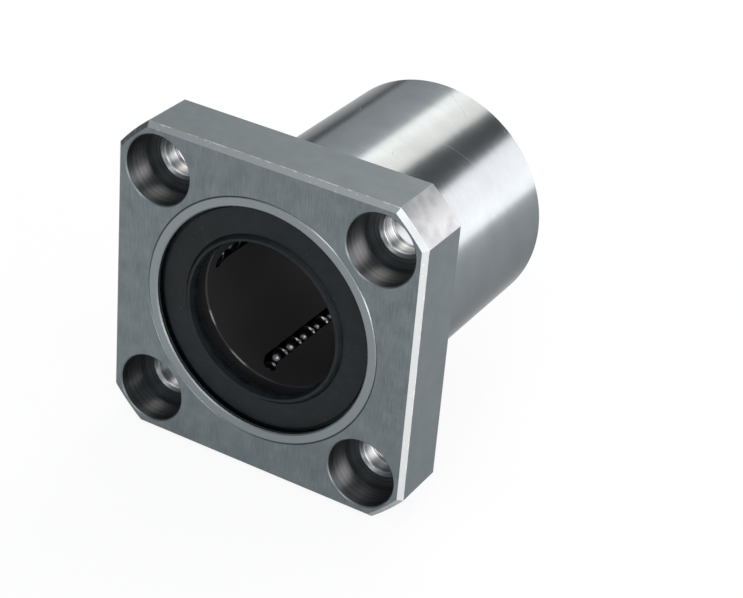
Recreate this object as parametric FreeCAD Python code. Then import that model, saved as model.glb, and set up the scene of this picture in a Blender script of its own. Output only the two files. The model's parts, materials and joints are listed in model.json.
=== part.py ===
import FreeCAD, Part
import os
from math import acos, cos, degrees, pi, radians, sin, sqrt
from FreeCAD import Vector

# Sealed linear ball bearing with a square flange.
# The shaft axis is Y. The flange's rear seating face lies in Y = 0, its counterbored front face
# looks towards -Y, and the sleeve's long free end points towards +Y. Z is up. Millimetres.
# "Depth" is always measured inwards along Y from the nearer end face of the sleeve.

# Shaft and balls
shaft_d = 20.0
ball_d = 3.175
ball_gap = 0.025            # between neighbours in a lane
circuits = 4                # closed ball loops around the shaft
turn_balls = 2              # balls in each half-round turn
first_lane_angle = 75.0     # first loaded lane, from +X towards +Z
return_lift = 1.4125        # radial rise of the return lane above the loaded lane

# Fits around the balls
pocket_clearance = 0.0625   # ball to cage pocket, radial
race_clearance = 0.025      # ball to hardened raceway, radial
relief_clearance = 0.1125   # ball to the sleeve's relief groove over the return lane, radial
end_bore_step = 0.05        # end bores stand this far outside the relief grooves

# Sleeve
sleeve_length = 42.0
sleeve_wall = 1.25          # over the end bores
run_out_depth = 0.2         # grinding relief at the foot of the free tube, behind the flange
run_out_width = 1.0
sleeve_end_chamfer = 0.5
mouth_chamfer = 0.15
groove_depth = 0.5          # retaining ring groove, into the end bore

# Cage
cage_shaft_clearance = 0.25
cage_race_clearance = 0.15
cage_end_wall = 0.3         # least wall between the last pocket and the cage's end
cage_play = 0.05
cage_edge = 0.15

# Seals
seal_recess = 1.0           # face at the rim, below the sleeve's end face
seal_width = 2.35
rim_ledge_width = 0.38      # step round the rim, where the seal is pressed in
rim_ledge_depth = 0.4
rim_edge_radius = 0.06
seal_face_rise = 0.15       # the face cones forward by this much on its way in
bead_depth = 0.35           # raised bead, below the sleeve's end face
bead_gap = 0.27             # bead's mouth to shaft, radial
bead_width = 0.35           # flat top
bead_foot = 0.33            # radial, from the top's outer corner to the foot
bead_inner_radius = 0.1
bead_outer_radius = 0.15
foot_groove = 0.1           # groove around the bead's foot, depth and width
lip_depth = 1.65            # lip's rear edge, below the sleeve's end face
lip_land = 0.35             # part of the lip that meets the shaft
core_thickness = 0.5
core_shaft_gap = 1.3        # core's bore to shaft, radial
core_cover = 0.4            # rubber outside the core

# Retaining rings
ring_width = 0.55
ring_section = 2.3          # radial
ring_groove_clearance = 0.05
ring_gap = 24.0             # opening between the lugs, degrees
lug_radius = 1.1
lug_hole_d = 1.1

# Flange
flange_thickness = 8.0
front_chamfer = 0.6
rear_chamfer = 0.2
seam_chamfer = 0.12         # both lips of the joint between flange and sleeve
bolt_hole_d = 5.5
counterbore_d = 9.0
counterbore_depth = 5.1
counterbore_chamfer = 0.15
screw_relief = 0.35         # chamfer at the foot of the counterbore, clears the screw's fillet
sleeve_web = 1.0            # metal between sleeve and counterbore
corner_web = 1.0            # metal between counterbore and turned corner
edge_web = 1.297            # metal between counterbore and flat side

# Ball loops
ball_r = ball_d / 2
pitch = ball_d + ball_gap
load_r = shaft_d / 2 + ball_r
return_r = load_r + return_lift
turn_r = pitch / (2 * sin(pi / (2 * turn_balls)))
pocket_r = ball_r + pocket_clearance
relief_r = ball_r + relief_clearance
lane_offset = acos((load_r**2 + return_r**2 - (2 * turn_r)**2) / (2 * load_r * return_r))

# Radii of the turned pieces
race_r = load_r + ball_r + race_clearance
end_bore_r = return_r + relief_r + end_bore_step
sleeve_r = end_bore_r + sleeve_wall
run_out_r = sleeve_r - run_out_depth
cage_bore_r = shaft_d / 2 + cage_shaft_clearance
cage_r = race_r - cage_race_clearance
core_bore_r = shaft_d / 2 + core_shaft_gap
core_r = end_bore_r - core_cover
groove_r = end_bore_r + groove_depth
ring_r = groove_r - ring_groove_clearance

# Places along the axis
front_y = -flange_thickness
rear_y = front_y + sleeve_length
middle_y = (front_y + rear_y) / 2
seal_back = seal_recess + seal_width
cage_end = seal_back + ring_width + cage_play
lane_room = sleeve_length - 2 * (cage_end + cage_end_wall + pocket_r + turn_r)
lane_balls = int(lane_room / pitch)
lane_length = lane_balls * pitch
front_turn_y = middle_y - lane_length / 2
rear_turn_y = middle_y + lane_length / 2

# Flange plan
bolt_circle_d = 2 * sleeve_r + 2 * sleeve_web + counterbore_d
bolt_spacing = bolt_circle_d / sqrt(2)
flange_side = bolt_spacing + counterbore_d + 2 * edge_web
corner_d = bolt_circle_d + counterbore_d + 2 * corner_web

axis_y = Vector(0, 1, 0)


def corner_arc(before, corner, after, radius):
    """Start, middle and end of the arc that rounds one corner of an outline."""
    to_before = (before - corner).normalize()
    to_after = (after - corner).normalize()
    half = to_before.getAngle(to_after) / 2
    reach = radius / (sin(half) / cos(half))
    bisector = (to_before + to_after).normalize()
    middle = corner + bisector * (radius / sin(half) - radius)
    return corner + to_before * reach, middle, corner + to_after * reach


def turned(outline):
    """Solid of revolution about the shaft axis. The outline is a closed list of
    (radius, y) corners, each with an optional third value that rounds it."""
    corners = [Vector(point[0], point[1], 0) for point in outline]
    radii = [point[2] if len(point) > 2 else 0 for point in outline]
    path = []
    arcs = []
    for i, corner in enumerate(corners):
        if radii[i]:
            start, middle, end = corner_arc(corners[i - 1], corner, corners[(i + 1) % len(corners)], radii[i])
            arcs.append(Part.Arc(start, middle, end).toShape())
            path.append((start, end))
        else:
            path.append((corner, corner))
    sides = []
    for i, (start, end) in enumerate(path):
        following = path[(i + 1) % len(path)][0]
        sides.append(Part.LineSegment(end, following).toShape())
    wire = Part.Wire(Part.__sortEdges__(sides + arcs))
    return Part.Face(wire).revolve(Vector(0, 0, 0), axis_y, 360)


def at_front(depth):
    """Y of a depth below the front end face."""
    return front_y + depth


def to_rear(shape):
    """The same piece at the sleeve's other end."""
    return shape.mirror(Vector(0, middle_y, 0), axis_y)


def around(radius, angle, y):
    """Point at a radius and an angle from +X towards +Z."""
    return Vector(radius * cos(angle), y, radius * sin(angle))


def edges_at(shape, y):
    """Edges that lie wholly in one plane across the axis."""
    return [edge for edge in shape.Edges if all(abs(v.Point.y - y) < 1e-6 for v in edge.Vertexes)]


def lane_angles():
    """Angles of the loaded lanes."""
    return [radians(first_lane_angle + 360 * k / circuits) for k in range(circuits)]


def loop_frame(angle):
    """Lane centres of one loop in the plane Y = 0, the turn centre between them and
    the unit vector from the loaded lane to the return lane."""
    loaded = around(load_r, angle, 0)
    returning = around(return_r, angle + lane_offset, 0)
    across = (returning - loaded).normalize()
    return loaded, returning, (loaded + returning) * 0.5, across


def loop_tube(angle, radius):
    """Round section swept along a whole loop: two lanes joined by half-ring turns."""
    loaded, returning, centre, across = loop_frame(angle)
    front, rear = axis_y * front_turn_y, axis_y * rear_turn_y
    front_apex = centre + front - axis_y * turn_r
    rear_apex = centre + rear + axis_y * turn_r
    path = Part.Wire([Part.makeLine(loaded + front, loaded + rear),
                      Part.Arc(loaded + rear, rear_apex, returning + rear).toShape(),
                      Part.makeLine(returning + rear, returning + front),
                      Part.Arc(returning + front, front_apex, loaded + front).toShape()])
    section = Part.Wire(Part.makeCircle(radius, loaded + front, axis_y))
    return path.makePipeShell([section], True, False)


def flange():
    """Square plate with turned corners, bored for the sleeve, with four counterbored holes."""
    plate = Part.makeBox(flange_side, flange_thickness, flange_side,
                         Vector(-flange_side / 2, front_y, -flange_side / 2))
    body = plate.common(Part.makeCylinder(corner_d / 2, flange_thickness, Vector(0, front_y, 0), axis_y))
    body = body.makeChamfer(front_chamfer, edges_at(body, front_y))
    body = body.makeChamfer(rear_chamfer, edges_at(body, 0))
    bore = turned([(0, front_y), (sleeve_r + seam_chamfer, front_y), (sleeve_r, front_y + seam_chamfer),
                   (sleeve_r, -seam_chamfer), (sleeve_r + seam_chamfer, 0), (0, 0)])
    floor_y = front_y + counterbore_depth
    rim_r = counterbore_d / 2 + counterbore_chamfer
    hole_r = bolt_hole_d / 2
    hole = turned([(0, front_y), (rim_r, front_y), (counterbore_d / 2, front_y + counterbore_chamfer),
                   (counterbore_d / 2, floor_y), (hole_r + screw_relief, floor_y),
                   (hole_r, floor_y + screw_relief), (hole_r, -rear_chamfer),
                   (hole_r + rear_chamfer, 0), (0, 0)])
    cutters = [bore]
    for x in (-bolt_spacing / 2, bolt_spacing / 2):
        for z in (-bolt_spacing / 2, bolt_spacing / 2):
            cutters.append(hole.translated(Vector(x, 0, z)))
    return body.cut(cutters)


def outer_sleeve():
    """Hardened tube: raceway bore in the middle, wider bores with a ring groove at both ends,
    one relief groove over each return lane, and a grinding relief behind the flange."""
    lead = end_bore_r - race_r
    groove_start = seal_back
    groove_end = seal_back + ring_width + ring_groove_clearance
    inside = [(end_bore_r + mouth_chamfer, 0), (end_bore_r, mouth_chamfer), (end_bore_r, groove_start),
              (groove_r, groove_start), (groove_r, groove_end), (end_bore_r, groove_end),
              (end_bore_r, front_turn_y - lead - front_y), (race_r, front_turn_y - front_y)]
    front_half = [(r, at_front(depth)) for r, depth in inside]
    rear_half = [(r, rear_y - depth) for r, depth in reversed(inside)]
    outside = [(sleeve_r - sleeve_end_chamfer, rear_y), (sleeve_r, rear_y - sleeve_end_chamfer),
               (sleeve_r, run_out_width + run_out_depth), (run_out_r, run_out_width),
               (run_out_r, run_out_depth), (sleeve_r, 0),
               (sleeve_r, front_y + seam_chamfer), (sleeve_r - seam_chamfer, front_y)]
    tube = turned(front_half + rear_half + outside)
    reliefs = []
    for angle in lane_angles():
        start = around(return_r, angle + lane_offset, front_turn_y - lead)
        reliefs.append(Part.makeCylinder(relief_r, lane_length + 2 * lead, start, axis_y))
    return tube.cut(reliefs)


def ball_cage():
    """Moulded sleeve that guides the balls: each loop is open to the shaft along its loaded
    lane only, where the pocket's lips hold the balls in."""
    front, rear = at_front(cage_end), rear_y - cage_end
    ring = turned([(cage_bore_r, front + cage_edge), (cage_bore_r + cage_edge, front),
                   (cage_r - cage_edge, front), (cage_r, front + cage_edge),
                   (cage_r, rear - cage_edge), (cage_r - cage_edge, rear),
                   (cage_bore_r + cage_edge, rear), (cage_bore_r, rear - cage_edge)])
    return ring.cut([loop_tube(angle, pocket_r) for angle in lane_angles()])


def seal_rubber():
    """Wiper seal at the front: a step round the rim, a gently coned face and a raised bead,
    whose inside narrows to the lip that meets the shaft."""
    shaft_r = shaft_d / 2
    back = at_front(seal_back)
    seat = back - core_thickness
    lip_y = at_front(lip_depth)
    bead_y = at_front(bead_depth)
    bead_r = shaft_r + bead_gap
    foot_r = bead_r + bead_width + bead_foot
    foot_y = at_front(seal_recess - seal_face_rise)
    ledge_r = end_bore_r - rim_ledge_width
    ledge_y = at_front(seal_recess + rim_ledge_depth)
    return turned([(ledge_r, at_front(seal_recess), rim_edge_radius), (ledge_r, ledge_y),
                   (end_bore_r, ledge_y), (end_bore_r, back), (core_r, back), (core_r, seat),
                   (core_bore_r, seat), (shaft_r, lip_y), (shaft_r, lip_y - lip_land),
                   (bead_r, bead_y, bead_inner_radius), (bead_r + bead_width, bead_y, bead_outer_radius),
                   (foot_r, foot_y + foot_groove), (foot_r + foot_groove, foot_y)])


def seal_core():
    """Steel washer bonded to the back of the front seal."""
    back = at_front(seal_back)
    return turned([(core_bore_r, back - core_thickness), (core_r, back - core_thickness),
                   (core_r, back), (core_bore_r, back)])


def retaining_ring():
    """Internal circlip behind the front seal, open at the bottom between two drilled lugs."""
    y = at_front(seal_back)
    inner_r = ring_r - ring_section
    ring = turned([(inner_r, y), (ring_r, y), (ring_r, y + ring_width), (inner_r, y + ring_width)])
    half_gap = radians(ring_gap / 2)
    down = -pi / 2
    reach = 2 * ring_r
    wedge = Part.Face(Part.makePolygon([Vector(0, y, 0), around(reach, down - half_gap, y),
                                        around(reach, down + half_gap, y), Vector(0, y, 0)]))
    body = ring.cut(wedge.extrude(axis_y * ring_width))
    for side in (-1, 1):
        spread = half_gap + lug_radius / inner_r
        centre = around(inner_r, down + side * spread, y)
        body = body.fuse(Part.makeCylinder(lug_radius, ring_width, centre, axis_y))
        body = body.cut(Part.makeCylinder(lug_hole_d / 2, ring_width, centre, axis_y))
    return body.removeSplitter()


def lane_group(centre):
    """Balls of one straight lane, half a pitch in from both turns."""
    places = [front_turn_y + (i + 0.5) * pitch for i in range(lane_balls)]
    return Part.makeCompound([Part.makeSphere(ball_r, centre + axis_y * y) for y in places])


def turn_group(centre, across, y, outward):
    """Balls spread evenly round one half-ring turn."""
    balls = []
    for i in range(turn_balls):
        swing = pi * (i + 0.5) / turn_balls
        place = centre + axis_y * (y + outward * turn_r * sin(swing)) - across * (turn_r * cos(swing))
        balls.append(Part.makeSphere(ball_r, place))
    return Part.makeCompound(balls)


def export(name, shape):
    shape.exportStep(f"parts/{name}.step")


os.makedirs("parts", exist_ok=True)

export("flange", flange())
export("outer_sleeve", outer_sleeve())
export("ball_cage", ball_cage())
end_pieces = {"seal": seal_rubber(), "seal_core": seal_core(), "retaining_ring": retaining_ring()}
for name, piece in end_pieces.items():
    export(f"front_{name}", piece)
    export(f"rear_{name}", to_rear(piece))
for k, angle in enumerate(lane_angles(), 1):
    loaded, returning, centre, across = loop_frame(angle)
    export(f"loaded_balls_{k}", lane_group(loaded))
    export(f"return_balls_{k}", lane_group(returning))
    export(f"front_turn_balls_{k}", turn_group(centre, across, front_turn_y, -1))
    export(f"rear_turn_balls_{k}", turn_group(centre, across, rear_turn_y, 1))

print(f"sleeve {2 * sleeve_r:.3f} dia, flange {flange_side:.3f} square, corners {corner_d:.3f} dia,"
      f" bolts {bolt_spacing:.3f} apart on {bolt_circle_d:.3f}")
print(f"{circuits} loops of {2 * lane_balls + 2 * turn_balls} balls, lane {lane_length:.2f},"
      f" turn radius {turn_r:.4f}, lanes {degrees(lane_offset):.3f} degrees apart")
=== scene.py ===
import json
from math import pi, radians
import bmesh
import bpy
from mathutils import Matrix, Vector


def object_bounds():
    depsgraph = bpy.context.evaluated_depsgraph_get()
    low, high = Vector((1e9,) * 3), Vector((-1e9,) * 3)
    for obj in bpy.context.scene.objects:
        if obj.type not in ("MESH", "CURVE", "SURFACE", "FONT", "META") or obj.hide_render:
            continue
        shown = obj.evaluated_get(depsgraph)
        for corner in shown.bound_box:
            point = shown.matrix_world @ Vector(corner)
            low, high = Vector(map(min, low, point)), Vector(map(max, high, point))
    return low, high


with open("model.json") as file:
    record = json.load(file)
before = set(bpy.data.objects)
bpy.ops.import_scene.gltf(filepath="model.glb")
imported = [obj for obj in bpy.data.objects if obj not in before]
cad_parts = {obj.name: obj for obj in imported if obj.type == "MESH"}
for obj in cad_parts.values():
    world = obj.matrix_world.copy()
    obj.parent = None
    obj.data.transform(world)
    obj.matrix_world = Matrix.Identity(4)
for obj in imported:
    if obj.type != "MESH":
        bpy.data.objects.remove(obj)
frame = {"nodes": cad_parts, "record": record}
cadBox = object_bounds()
print("frame loaded:", len(frame["nodes"]), "nodes")


def hexColour(code):
    # sRGB hex to the linear values a shader socket takes
    parts = [int(code[i:i + 2], 16) / 255 for i in (1, 3, 5)]
    return tuple(c / 12.92 if c <= 0.04045 else ((c + 0.055) / 1.055) ** 2.4 for c in parts) + (1.0,)


def newMaterial(name):
    material = bpy.data.materials.new(name)
    material.use_nodes = True
    material.node_tree.nodes.clear()
    return material


def addNode(owner, kind, inputs=None, stops=(), **settings):
    # one node: its settings, its ramp colours, then for each input a value or what feeds it
    tree = owner.node_tree
    node = tree.nodes.new("ShaderNode" + kind)
    for key, value in settings.items():
        setattr(node, key, value)
    for i, (place, code) in enumerate(stops):
        element = node.color_ramp.elements[i] if i < 2 else node.color_ramp.elements.new(place)
        element.position, element.color = place, hexColour(code)
    for key, value in (inputs or {}).items():
        if isinstance(key, int):
            socket = node.inputs[key]
        else:
            socket = [s for s in node.inputs if s.enabled and s.name == key][0]
        if isinstance(value, bpy.types.Node):
            value = [output for output in value.outputs if output.enabled][0]
        if isinstance(value, bpy.types.NodeSocket):
            tree.links.new(value, socket)
        else:
            socket.default_value = value
    return node


def millimetres(material):
    # place on the part, in millimetres
    coordinates = addNode(material, "TexCoord")
    return addNode(material, "VectorMath", {"Vector": coordinates.outputs["Object"], "Scale": 1000.0},
                   operation="SCALE")


def facing(material):
    # which way the surface looks, axis by axis, and how squarely it looks along the shaft
    coordinates = addNode(material, "TexCoord")
    axes = addNode(material, "SeparateXYZ", {"Vector": coordinates.outputs["Normal"]})
    squareness = addNode(material, "Math", {0: axes.outputs["Y"]}, operation="ABSOLUTE")
    return axes, squareness


def drawnLines(material, place, spacing, length, along):
    # noise drawn out along one axis: lines of this spacing and length in millimetres
    scale = [1 / spacing] * 3
    scale["XYZ".index(along)] = 1 / length
    stretched = addNode(material, "Mapping", {"Vector": place, "Scale": scale})
    return addNode(material, "TexNoise", {"Vector": stretched, "Scale": 1.0, "Detail": 3.0, "Roughness": 0.6})


def fromAxis(material, place):
    # distance from the shaft's centre line
    flat = addNode(material, "VectorMath", {0: place, 1: (1, 0, 1)}, operation="MULTIPLY")
    return addNode(material, "VectorMath", {0: flat}, operation="LENGTH").outputs["Value"]


def nearEnds(material, spot, halfLength):
    # mask: further than this along the shaft from the middle of the sleeve
    corners = frame["nodes"]["outer_sleeve"].bound_box
    middle = (corners[0][1] + corners[6][1]) / 2 * 1000
    along = addNode(material, "Math", {0: spot.outputs["Y"], 1: middle}, operation="SUBTRACT")
    along = addNode(material, "Math", {0: along}, operation="ABSOLUTE")
    return addNode(material, "Math", {0: along, 1: halfLength}, operation="GREATER_THAN")


def finish(material, pattern, relief, **sockets):
    # the shader itself, with a relief this many millimetres deep
    bump = addNode(material, "Bump", {"Height": pattern, "Distance": relief["depth"] / 1000,
                                      "Strength": relief["strength"]})
    inputs = {key.replace("_", " "): value for key, value in sockets.items()}
    shader = addNode(material, "BsdfPrincipled", dict(inputs, Normal=bump))
    addNode(material, "OutputMaterial", {"Surface": shader})
    return material


# flange: a square of steel, surface ground, with turned corners and bored screw seats (sizes in mm)
flangeLook = {
    "grey": ((0.34, "#646c6f"), (0.66, "#7e8689")), "roughness": {"To Min": 0.34, "To Max": 0.46},
    "tint": (0.8, 0.8, 0.8, 1.0), "relief": {"depth": 0.006, "strength": 0.6},
    "frontFrom": 0.95,  # a face this square to the shaft is the front
    "lineSpacing": 0.17, "lineLength": 2.4,  # far coarser than the wheel's own marks, so that they show
    "lineShare": 0.5, "frontTone": {"To Min": 0.04, "To Max": 1.04},  # a shade paler than the sides
    "mottle": {"Scale": 1 / 2.6, "Detail": 5.0, "Roughness": 0.6}, "sideTone": {"To Min": 0.36, "To Max": 0.64},
    # turned corners
    "cornerRadius": 26.98, "cornerGrey": ((0.38, "#8f9496"), (0.62, "#a5a9ab")),
    "cornerCloud": {"Scale": 1 / 3.5, "Detail": 3.0, "Roughness": 0.6},
    # bevels: where they begin, how square they are to the shaft give or take, and greys from shaded to lit,
    # painted light and shade by which way each bevel faces
    "bevelReach": 20.1, "bevelRadius": 26.2, "bevelSquareness": 0.625, "bevelLeeway": 0.325, "bevelRise": 0.5,
    "bevelLitRange": {"From Min": -0.7, "From Max": 0.7},
    "bevelLightAndShade": ((0.25, "#565b5d"), (0.75, "#b4b8b8"), (1.0, "#dcdede")),
    # worn edges and nicks, with a painted highlight on the lit bevels
    "wornEdgeAndHighlight": "#f2f3f3", "rubReach": 21.28, "rubWander": 0.6,
    "rub": {"Scale": 1 / 1.3, "Detail": 4.0, "Roughness": 0.6},
    "nickLevel": 0.69, "nick": {"Scale": 1 / 0.45, "Detail": 2.0, "Roughness": 0.6},
    # screw seats, painted darker as a painted shade in the recess, and the holes in them, paler in part as a
    # painted glint, as far as just short of the rear face
    "seat": {"radius": 4.52, "grey": ((0.38, "#585b5c"), (0.62, "#707375"))},
    "hole": {"radius": 3.2, "grey": ((0.38, "#676a6b"), (0.62, "#b2b6b8"))}, "boredTo": -0.03,
    "toolRings": {"Scale": 1 / 0.35, "Detail": 2.0, "Roughness": 0.6},
    "seatRoughness": {"To Min": 0.30, "To Max": 0.50},
}


def surfaceGroundSteel():
    # mild steel left bare off the grinder: dull mid grey, mottled by short fine lines across its front
    look = flangeLook
    steel = newMaterial("surfaceGroundSteel")
    place = millimetres(steel)
    spot = addNode(steel, "SeparateXYZ", {"Vector": place})
    axes, squareness = facing(steel)
    front = addNode(steel, "Math", {0: squareness, 1: look["frontFrom"]}, operation="GREATER_THAN")
    lines = drawnLines(steel, place, look["lineSpacing"], look["lineLength"], "Z")
    mottle = addNode(steel, "TexNoise", {"Vector": place, **look["mottle"]})
    lined = addNode(steel, "Mix", {"Factor": look["lineShare"], "A": mottle, "B": lines})
    frontTone = addNode(steel, "MapRange", {"Value": lined, **look["frontTone"]})
    sideTone = addNode(steel, "MapRange", {"Value": mottle, **look["sideTone"]})
    tone = addNode(steel, "Mix", {"Factor": front, "A": sideTone, "B": frontTone})
    colour = addNode(steel, "ValToRGB", {"Fac": tone}, look["grey"])

    # corners: turned to a circle before the sides were ground
    radius = fromAxis(steel, place)
    corner = addNode(steel, "Math", {0: radius, 1: look["cornerRadius"]}, operation="GREATER_THAN")
    cloud = addNode(steel, "TexNoise", {"Vector": place, **look["cornerCloud"]})
    turned = addNode(steel, "ValToRGB", {"Fac": cloud}, look["cornerGrey"])
    colour = addNode(steel, "Mix", {"Factor": corner, "A": colour, "B": turned}, data_type="RGBA")

    # bevels: painted light and shade by which way each faces, shaded below and at the left, a painted highlight
    # at the right
    sideways = addNode(steel, "Math", {0: spot.outputs["X"]}, operation="ABSOLUTE")
    upright = addNode(steel, "Math", {0: spot.outputs["Z"]}, operation="ABSOLUTE")
    reach = addNode(steel, "Math", {0: sideways, 1: upright}, operation="MAXIMUM")
    outer = addNode(steel, "Math", {0: reach, 1: look["bevelReach"]}, operation="GREATER_THAN")
    cut = addNode(steel, "Math", {0: radius, 1: look["bevelRadius"]}, operation="GREATER_THAN")
    edge = addNode(steel, "Math", {0: outer, 1: cut}, operation="MAXIMUM")
    slanted = addNode(steel, "Math", {0: squareness, 1: look["bevelSquareness"], 2: look["bevelLeeway"]},
                      operation="COMPARE")
    bevel = addNode(steel, "Math", {0: edge, 1: slanted}, operation="MULTIPLY")
    # painted light: how far the bevel faces right and up picks its grey
    bevelLit = addNode(steel, "Math", {0: axes.outputs["Z"], 1: look["bevelRise"], 2: axes.outputs["X"]},
                    operation="MULTIPLY_ADD")
    bevelLit = addNode(steel, "MapRange", {"Value": bevelLit, **look["bevelLitRange"]})
    paintedBevelLight = addNode(steel, "ValToRGB", {"Fac": bevelLit}, look["bevelLightAndShade"])
    colour = addNode(steel, "Mix", {"Factor": bevel, "A": colour, "B": paintedBevelLight}, data_type="RGBA")

    # worn edge and painted highlight: the outer arris of each bevel is rubbed bright in an uneven line, with
    # nicks below it, painted brightest on the bevels the light falls on
    rub = addNode(steel, "TexNoise", {"Vector": place, **look["rub"]})
    uneven = addNode(steel, "Math", {0: rub, 1: look["rubWander"], 2: reach}, operation="MULTIPLY_ADD")
    rubbed = addNode(steel, "Math", {0: uneven, 1: look["rubReach"]}, operation="GREATER_THAN")
    nick = addNode(steel, "TexNoise", {"Vector": place, **look["nick"]})
    nicked = addNode(steel, "Math", {0: nick, 1: look["nickLevel"]}, operation="GREATER_THAN")
    wornAndLit = addNode(steel, "Math", {0: rubbed, 1: nicked}, operation="MAXIMUM")
    wornAndLit = addNode(steel, "Math", {0: wornAndLit, 1: bevel}, operation="MULTIPLY")
    wornAndLit = addNode(steel, "Math", {0: wornAndLit, 1: bevelLit}, operation="MULTIPLY")  # painted highlight: faint where the bevel is painted in shade
    colour = addNode(steel, "Mix", {"Factor": wornAndLit, "A": colour, "B": hexColour(look["wornEdgeAndHighlight"])},
                     data_type="RGBA")

    # screw seats: within reach of one of the four hole axes, painted darker as a painted shade in the recess
    # and ringed by the tool; the holes paler, in part a painted glint
    mount = [m for m in frame["record"]["mounts"] if m["name"] == "flange_bolts"][0]
    half = mount["dims"]["spacing_x_mm"] / 2
    flat = addNode(steel, "VectorMath", {0: place, 1: (1, 0, 1)}, operation="MULTIPLY")
    folded = addNode(steel, "VectorMath", {0: flat}, operation="ABSOLUTE")
    centred = addNode(steel, "VectorMath", {0: folded, 1: (half, 0, half)}, operation="SUBTRACT")
    around = addNode(steel, "VectorMath", {0: centred}, operation="LENGTH").outputs["Value"]
    unrolled = addNode(steel, "CombineXYZ", {"X": around, "Y": spot.outputs["Y"]})
    rings = addNode(steel, "TexNoise", {"Vector": unrolled, **look["toolRings"]})
    bored = addNode(steel, "Math", {0: spot.outputs["Y"], 1: look["boredTo"]}, operation="LESS_THAN")
    masks = {}
    for name in ("seat", "hole"):
        near = addNode(steel, "Math", {0: around, 1: look[name]["radius"]}, operation="LESS_THAN")
        masks[name] = addNode(steel, "Math", {0: near, 1: bored}, operation="MULTIPLY")
        ringed = addNode(steel, "ValToRGB", {"Fac": rings}, look[name]["grey"])
        colour = addNode(steel, "Mix", {"Factor": masks[name], "A": colour, "B": ringed}, data_type="RGBA")

    ground = addNode(steel, "MapRange", {"Value": tone, **look["roughness"]})
    turned = addNode(steel, "MapRange", {"Value": rings, **look["seatRoughness"]})
    roughness = addNode(steel, "Mix", {"Factor": masks["seat"], "A": ground, "B": turned})
    pattern = addNode(steel, "Mix", {"Factor": masks["seat"], "A": tone, "B": rings})
    return finish(steel, pattern, look["relief"], Base_Color=colour, Roughness=roughness, Metallic=1.0,
                  Specular_Tint=look["tint"])


# sleeve: the turned and hardened tube that carries the raceways (sizes in mm)
sleeveLook = {
    "grey": ((0.3, "#7d8487"), (0.7, "#8c9295")), "roughness": {"To Min": 0.15, "To Max": 0.23},
    "tint": (0.5, 0.5, 0.5, 1.0), "relief": {"depth": 0.001, "strength": 0.5},
    "hoopSpacing": 0.08, "hoopLength": 9.0,  # coarser than the wheel's own marks, so that they show
    "cloud": {"Scale": 1 / 5.0, "Detail": 4.0, "Roughness": 0.6}, "cloudShare": 0.5,
    # hairline scratches
    "scratchSpread": 9.0, "scratchWidth": 0.006, "scratchRoughness": 0.36,
    "scratchDrift": {"Scale": 1 / 9.0, "Detail": 1.0, "Roughness": 0.6}, "driftReach": (5.0, 5.0, 5.0),
    "handled": {"Scale": 1 / 7.0, "Detail": 3.0, "Roughness": 0.6}, "handledLevel": 0.58,
    # ends, inside the outer surface and from here along the shaft
    "radius": 16.0, "endRadius": 15.95, "endFrom": 20.4, "endGrey": "#8b9193", "endRoughness": 0.42,
}


def centrelessGroundSteel():
    # bearing steel ground round its axis: brighter and tighter than the flange, with faint hoops
    look = sleeveLook
    steel = newMaterial("centrelessGroundSteel")
    place = millimetres(steel)
    spot = addNode(steel, "SeparateXYZ", {"Vector": place})
    angle = addNode(steel, "Math", {0: spot.outputs["Z"], 1: spot.outputs["X"]}, operation="ARCTAN2")
    arc = addNode(steel, "Math", {0: angle, 1: look["radius"]}, operation="MULTIPLY")
    unrolled = addNode(steel, "CombineXYZ", {"X": arc, "Y": spot.outputs["Y"]})
    hoops = drawnLines(steel, unrolled, look["hoopSpacing"], look["hoopLength"], "X")
    cloud = addNode(steel, "TexNoise", {"Vector": place, **look["cloud"]})
    tone = addNode(steel, "Mix", {"Factor": look["cloudShare"], "A": hoops, "B": cloud})
    colour = addNode(steel, "ValToRGB", {"Fac": tone}, look["grey"])

    # scratches: hairlines along the edges of wavy cells, left only in some patches
    drift = addNode(steel, "TexNoise", {"Vector": place, **look["scratchDrift"]})
    wander = addNode(steel, "VectorMath", {0: drift.outputs["Color"], 1: look["driftReach"], 2: place},
                     operation="MULTIPLY_ADD")
    cells = addNode(steel, "TexVoronoi", {"Vector": wander, "Scale": 1 / look["scratchSpread"]},
                    feature="DISTANCE_TO_EDGE")
    hairline = addNode(steel, "Math", {0: cells, 1: look["scratchWidth"] / 2}, operation="LESS_THAN")
    handled = addNode(steel, "TexNoise", {"Vector": place, **look["handled"]})
    handled = addNode(steel, "Math", {0: handled, 1: look["handledLevel"]}, operation="GREATER_THAN")
    scratch = addNode(steel, "Math", {0: hairline, 1: handled}, operation="MULTIPLY")
    pattern = addNode(steel, "Mix", {"Factor": scratch, "A": hoops, "B": 0.0})
    roughness = addNode(steel, "MapRange", {"Value": tone, **look["roughness"]})
    roughness = addNode(steel, "Mix", {"Factor": scratch, "A": roughness, "B": look["scratchRoughness"]})

    # ends: the faces and the mouth chamfers are only turned, so they are paler and dull
    inner = addNode(steel, "Math", {0: fromAxis(steel, place), 1: look["endRadius"]}, operation="LESS_THAN")
    end = addNode(steel, "Math", {0: nearEnds(steel, spot, look["endFrom"]), 1: inner}, operation="MULTIPLY")
    colour = addNode(steel, "Mix", {"Factor": end, "A": colour, "B": hexColour(look["endGrey"])},
                     data_type="RGBA")
    roughness = addNode(steel, "Mix", {"Factor": end, "A": roughness, "B": look["endRoughness"]})
    return finish(steel, pattern, look["relief"], Base_Color=colour, Roughness=roughness, Metallic=1.0,
                  Specular_Tint=look["tint"])


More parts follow.
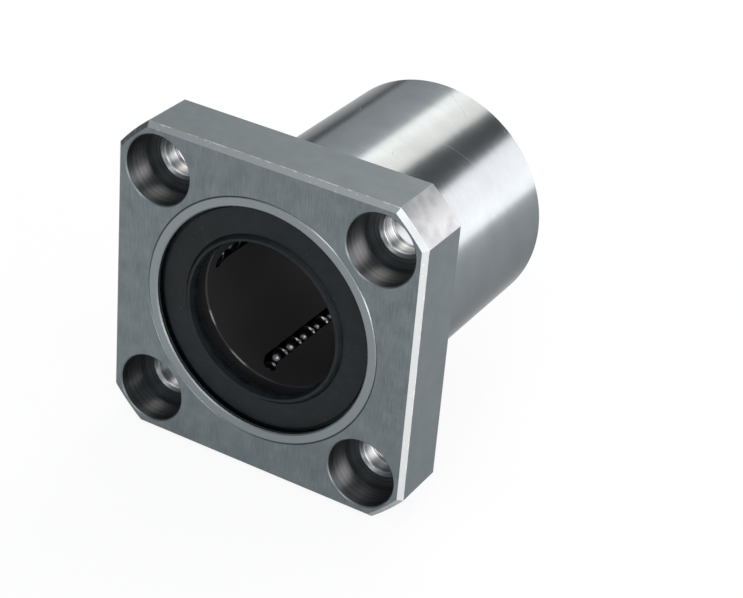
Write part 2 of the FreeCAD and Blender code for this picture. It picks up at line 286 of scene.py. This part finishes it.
# seals: the rubber rings with the wiping lip (sizes in mm)
sealLook = {
    "black": ((0.35, "#0e1315"), (0.65, "#181e21")), "roughness": {"To Min": 0.40, "To Max": 0.56},
    "bloom": {"Scale": 1 / 2.0, "Detail": 5.0, "Roughness": 0.6}, "sheen": 0.22,
    "grit": {"Scale": 1 / 0.12, "Detail": 2.0, "Roughness": 0.6}, "relief": {"depth": 0.01, "strength": 0.35},
    # dusty flecks
    "scuff": "#40464a", "dust": {"Scale": 1 / 0.35, "Detail": 1.0, "Roughness": 0.6}, "dustLevel": 0.76,
    "handled": {"Scale": 1 / 5.0, "Detail": 1.0, "Roughness": 0.6}, "handledLevel": 0.5,
    # polished lip and rim, where the rim counts as rounded below this squareness
    "lipRadius": 10.08, "rimRadius": 13.5, "roundedTo": 0.95, "polish": 0.12,
}


def mouldedNitrile():
    # nitrile rubber from a mould: soft black with a bluish bloom, a dull sheen and a few pale scuffs
    look = sealLook
    rubber = newMaterial("mouldedNitrile")
    place = millimetres(rubber)
    bloom = addNode(rubber, "TexNoise", {"Vector": place, **look["bloom"]})
    grit = addNode(rubber, "TexNoise", {"Vector": place, **look["grit"]})
    colour = addNode(rubber, "ValToRGB", {"Fac": bloom}, look["black"])

    # scuffs: sparse dusty flecks
    dust = addNode(rubber, "TexNoise", {"Vector": place, **look["dust"]})
    dust = addNode(rubber, "Math", {0: dust, 1: look["dustLevel"]}, operation="GREATER_THAN")
    handled = addNode(rubber, "TexNoise", {"Vector": place, **look["handled"]})
    handled = addNode(rubber, "Math", {0: handled, 1: look["handledLevel"]}, operation="GREATER_THAN")
    fleck = addNode(rubber, "Math", {0: dust, 1: handled}, operation="MULTIPLY")
    colour = addNode(rubber, "Mix", {"Factor": fleck, "A": colour, "B": hexColour(look["scuff"])},
                     data_type="RGBA")

    # polish: on the lip, where the shaft rubs, and on the rounded edge of the rim
    squareness = facing(rubber)[1]
    radius = fromAxis(rubber, place)
    lip = addNode(rubber, "Math", {0: radius, 1: look["lipRadius"]}, operation="LESS_THAN")
    rim = addNode(rubber, "Math", {0: radius, 1: look["rimRadius"]}, operation="GREATER_THAN")
    rounded = addNode(rubber, "Math", {0: squareness, 1: look["roundedTo"]}, operation="LESS_THAN")
    rim = addNode(rubber, "Math", {0: rim, 1: rounded}, operation="MULTIPLY")
    polished = addNode(rubber, "Math", {0: lip, 1: rim}, operation="MAXIMUM")
    roughness = addNode(rubber, "MapRange", {"Value": bloom, **look["roughness"]})
    roughness = addNode(rubber, "Mix", {"Factor": polished, "A": roughness, "B": look["polish"]})
    return finish(rubber, grit, look["relief"], Base_Color=colour, Roughness=roughness,
                  Specular_IOR_Level=look["sheen"])


# cage: the moulded resin body that guides the balls (sizes in mm)
cageLook = {
    "black": ((0.3, "#1b1b1d"), (0.7, "#222224")), "roughness": {"To Min": 0.72, "To Max": 0.85}, "sheen": 0.4,
    "flow": {"Scale": 1 / 3.0, "Detail": 3.0, "Roughness": 0.6}, "relief": {"depth": 0.01, "strength": 0.2},
    # arris: where it begins, and how square it is to the shaft give or take
    "arrisFrom": 16.55, "arrisSquareness": 0.625, "arrisLeeway": 0.325, "arrisRoughness": 0.12,
}


def mouldedAcetal():
    # acetal resin from a textured mould: even dull black, shiny only on the arris at each end
    look = cageLook
    resin = newMaterial("mouldedAcetal")
    place = millimetres(resin)
    spot = addNode(resin, "SeparateXYZ", {"Vector": place})
    flow = addNode(resin, "TexNoise", {"Vector": place, **look["flow"]})
    colour = addNode(resin, "ValToRGB", {"Fac": flow}, look["black"])
    squareness = facing(resin)[1]
    slanted = addNode(resin, "Math", {0: squareness, 1: look["arrisSquareness"], 2: look["arrisLeeway"]},
                      operation="COMPARE")
    arris = addNode(resin, "Math", {0: nearEnds(resin, spot, look["arrisFrom"]), 1: slanted},
                    operation="MULTIPLY")
    roughness = addNode(resin, "MapRange", {"Value": flow, **look["roughness"]})
    roughness = addNode(resin, "Mix", {"Factor": arris, "A": roughness, "B": look["arrisRoughness"]})
    return finish(resin, flow, look["relief"], Base_Color=colour, Roughness=roughness,
                  Specular_IOR_Level=look["sheen"])


# balls: the four recirculating circuits (sizes in mm)
ballLook = {
    # the greys are painted shade: bright chrome steel darkened to the dim inside of the bore
    "grey": ((0.3, "#4e4f51"), (0.7, "#5e5f61")), "roughness": {"To Min": 0.18, "To Max": 0.28},
    "film": {"Scale": 1 / 0.8, "Detail": 2.0, "Roughness": 0.6}, "relief": {"depth": 0.001, "strength": 0.1},
    "oilIor": 1.47, "oilRoughness": 0.04,
}


def lappedChromeSteel():
    # chrome steel painted a dark grey, a painted shade for the dim inside of the bore; a wet oil film on it
    # gives small sharp glints
    look = ballLook
    steel = newMaterial("lappedChromeSteel")
    film = addNode(steel, "TexNoise", {"Vector": millimetres(steel), **look["film"]})
    colour = addNode(steel, "ValToRGB", {"Fac": film}, look["grey"])
    roughness = addNode(steel, "MapRange", {"Value": film, **look["roughness"]})
    return finish(steel, film, look["relief"], Base_Color=colour, Roughness=roughness, Metallic=1.0,
                  Coat_Weight=1.0, Coat_Roughness=look["oilRoughness"], Coat_IOR=look["oilIor"])


# seal cores: washers pressed from strip, which the rubber is moulded on (sizes in mm)
coreLook = {
    "grey": ((0.3, "#6d6f70"), (0.7, "#85878a")), "roughness": {"To Min": 0.30, "To Max": 0.42},
    "rollSpacing": 0.15, "rollLength": 5.0, "relief": {"depth": 0.003, "strength": 0.4},
}
# retaining rings: circlips stamped from strip and sprung into the sleeve's grooves (sizes in mm)
ringLook = {
    "grey": ((0.3, "#2b2c2e"), (0.7, "#38393b")), "roughness": {"To Min": 0.36, "To Max": 0.48},
    "rollSpacing": 0.15, "rollLength": 5.0, "relief": {"depth": 0.006, "strength": 0.4},
}


def stripSteel(name, look):
    # cold-rolled strip: an even oily grey with rolling lines, or the near black of a phosphate coat
    steel = newMaterial(name)
    rolling = drawnLines(steel, millimetres(steel), look["rollSpacing"], look["rollLength"], "X")
    colour = addNode(steel, "ValToRGB", {"Fac": rolling}, look["grey"])
    roughness = addNode(steel, "MapRange", {"Value": rolling, **look["roughness"]})
    return finish(steel, rolling, look["relief"], Base_Color=colour, Roughness=roughness, Metallic=1.0)


def dress(nodeNames, material):
    for name in nodeNames:
        for slot in frame["nodes"][name].material_slots:
            slot.material = material


dress(["flange"], surfaceGroundSteel())
dress(["outer_sleeve"], centrelessGroundSteel())
dress(["ball_cage"], mouldedAcetal())
dress(["front_seal", "rear_seal"], mouldedNitrile())
dress(["front_seal_core", "rear_seal_core"], stripSteel("pressedStripSteel", coreLook))
dress(["front_retaining_ring", "rear_retaining_ring"], stripSteel("phosphatedSpringSteel", ringLook))
dress([name for name in frame["nodes"] if "balls" in name], lappedChromeSteel())
print("materials done")


# floor: white paper, its whiteness topped up where it is looked at and, less, where it is mirrored
floorLook = {"side": 4.0, "colour": "#f8fafc", "seenGlow": 0.90, "mirroredGlow": 0.40}


def buildFloor():
    bed = bmesh.new()
    bmesh.ops.create_grid(bed, x_segments=1, y_segments=1, size=floorLook["side"] / 2)
    bmesh.ops.translate(bed, verts=bed.verts, vec=(0, 0, cadBox[0][2]))
    mesh = bpy.data.meshes.new("floor")
    bed.to_mesh(mesh)
    bed.free()
    floor = bpy.data.objects.new("floor", mesh)
    bpy.context.scene.collection.objects.link(floor)
    paper = newMaterial("floorPaper")
    diffuse = addNode(paper, "BsdfDiffuse", {"Color": hexColour(floorLook["colour"])})
    glow = addNode(paper, "Emission", {"Color": (1, 1, 1, 1), "Strength": 1.0})
    path = addNode(paper, "LightPath").outputs
    seen = addNode(paper, "Math", {0: path["Is Camera Ray"], 1: floorLook["seenGlow"]}, operation="MULTIPLY")
    mirrored = addNode(paper, "Math", {0: path["Is Glossy Ray"], 1: path["Is Transmission Ray"]},
                       operation="MAXIMUM")
    mirrored = addNode(paper, "Math", {0: mirrored, 1: floorLook["mirroredGlow"]}, operation="MULTIPLY")
    share = addNode(paper, "Math", {0: seen, 1: mirrored}, operation="MAXIMUM")
    mixed = addNode(paper, "MixShader", {0: share, 1: diffuse, 2: glow})
    addNode(paper, "OutputMaterial", {"Surface": mixed})
    mesh.materials.append(paper)


# soft boxes: which way each stands from the part, how far, its width and length, and its brightness
softBoxes = {
    "rightBack": {"towards": (0.636, 0.76, 0.135), "distance": 0.45, "size": (0.33, 0.34),
                  "radiance": 3.6, "colour": "#fff6f5"},
    "topBack": {"towards": (-0.10, 0.76, 0.642), "distance": 0.9, "size": (0.35, 0.60),
                "radiance": 3.1, "colour": "#fff5ec"},
    "topLeftBack": {"towards": (-0.468, 0.76, 0.452), "distance": 0.9, "size": (0.64, 0.60),
                    "radiance": 0.95, "colour": "#ffffff"},
    "overhead": {"towards": (0.0, -0.05, 1.0), "distance": 0.9, "size": (0.35, 0.80),
                 "radiance": 1.6, "colour": "#ffffff"},
    "rightFront": {"towards": (0.86, -0.50, 0.11), "distance": 0.9, "size": (0.22, 0.42),
                   "radiance": 7.0, "colour": "#ffffff"},
    "topFront": {"towards": (0.26, -0.66, 0.70), "distance": 0.9, "size": (0.30, 0.30),
                 "radiance": 4.0, "colour": "#ffffff"},
}
lampAim = (0, 0.010, 0)  # the spot on the shaft's centre line that every soft box faces


def buildLights():
    for name, look in softBoxes.items():
        towards = Vector(look["towards"]).normalized()
        across = Vector((0, 1, 0)).cross(towards).normalized()
        width, length = look["size"]
        light = bpy.data.lights.new(name, "AREA")
        light.shape = "RECTANGLE"
        light.size = width
        light.size_y = length
        light.color = hexColour(look["colour"])[:3]
        light.energy = look["radiance"] * pi * width * length
        box = bpy.data.objects.new(name, light)
        bpy.context.scene.collection.objects.link(box)
        box.matrix_world = Matrix.LocRotScale(
            Vector(lampAim) + towards * look["distance"],
            Matrix((across, towards.cross(across), towards)).transposed(), None)


# room: how bright it is all round and high up behind, and how much of that is left at the far left
roomLook = {
    "colour": "#f5f8fc", "wall": {"To Min": 0.75, "To Max": 0.24},
    "behind": {"From Min": 0.2, "From Max": 0.6}, "high": {"From Min": 0.05, "From Max": 0.25},
    "side": {"From Min": -0.65, "From Max": -0.25, "To Min": 0.4, "To Max": 1.0},
}


def buildRoom():
    room = bpy.data.worlds.new("room")
    bpy.context.scene.world = room
    room.use_nodes = True
    room.node_tree.nodes.clear()
    direction = addNode(room, "TexCoord").outputs["Generated"]
    parts = addNode(room, "SeparateXYZ", {"Vector": direction}).outputs
    behind = addNode(room, "MapRange", {"Value": parts["Y"], **roomLook["behind"]},
                     interpolation_type="SMOOTHSTEP")
    high = addNode(room, "MapRange", {"Value": parts["Z"], **roomLook["high"]},
                   interpolation_type="SMOOTHSTEP")
    far = addNode(room, "Math", {0: behind, 1: high}, operation="MULTIPLY")
    wall = addNode(room, "MapRange", {"Value": far, **roomLook["wall"]})
    side = addNode(room, "MapRange", {"Value": parts["X"], **roomLook["side"]},
                   interpolation_type="SMOOTHSTEP")
    strength = addNode(room, "Math", {0: wall, 1: side}, operation="MULTIPLY")
    background = addNode(room, "Background", {"Strength": strength, "Color": hexColour(roomLook["colour"])})
    addNode(room, "OutputWorld", {"Surface": background})


cameraPlace = {"spot": (0.11063, -0.18764, 0.12886), "turn": (59.365, -4.429, 30.733),
               "lens": 101.54, "sensor": 36.0, "clipStart": 0.01}


def buildCamera():
    camera = bpy.data.cameras.new("camera")
    camera.sensor_width = cameraPlace["sensor"]
    camera.lens = cameraPlace["lens"]
    camera.clip_start = cameraPlace["clipStart"]
    rig = bpy.data.objects.new("camera", camera)
    bpy.context.scene.collection.objects.link(rig)
    rig.location = cameraPlace["spot"]
    rig.rotation_euler = [radians(a) for a in cameraPlace["turn"]]
    bpy.context.scene.camera = rig


buildFloor()
buildLights()
buildRoom()
buildCamera()
bpy.context.scene.view_settings.view_transform = "Standard"
print("studio done")
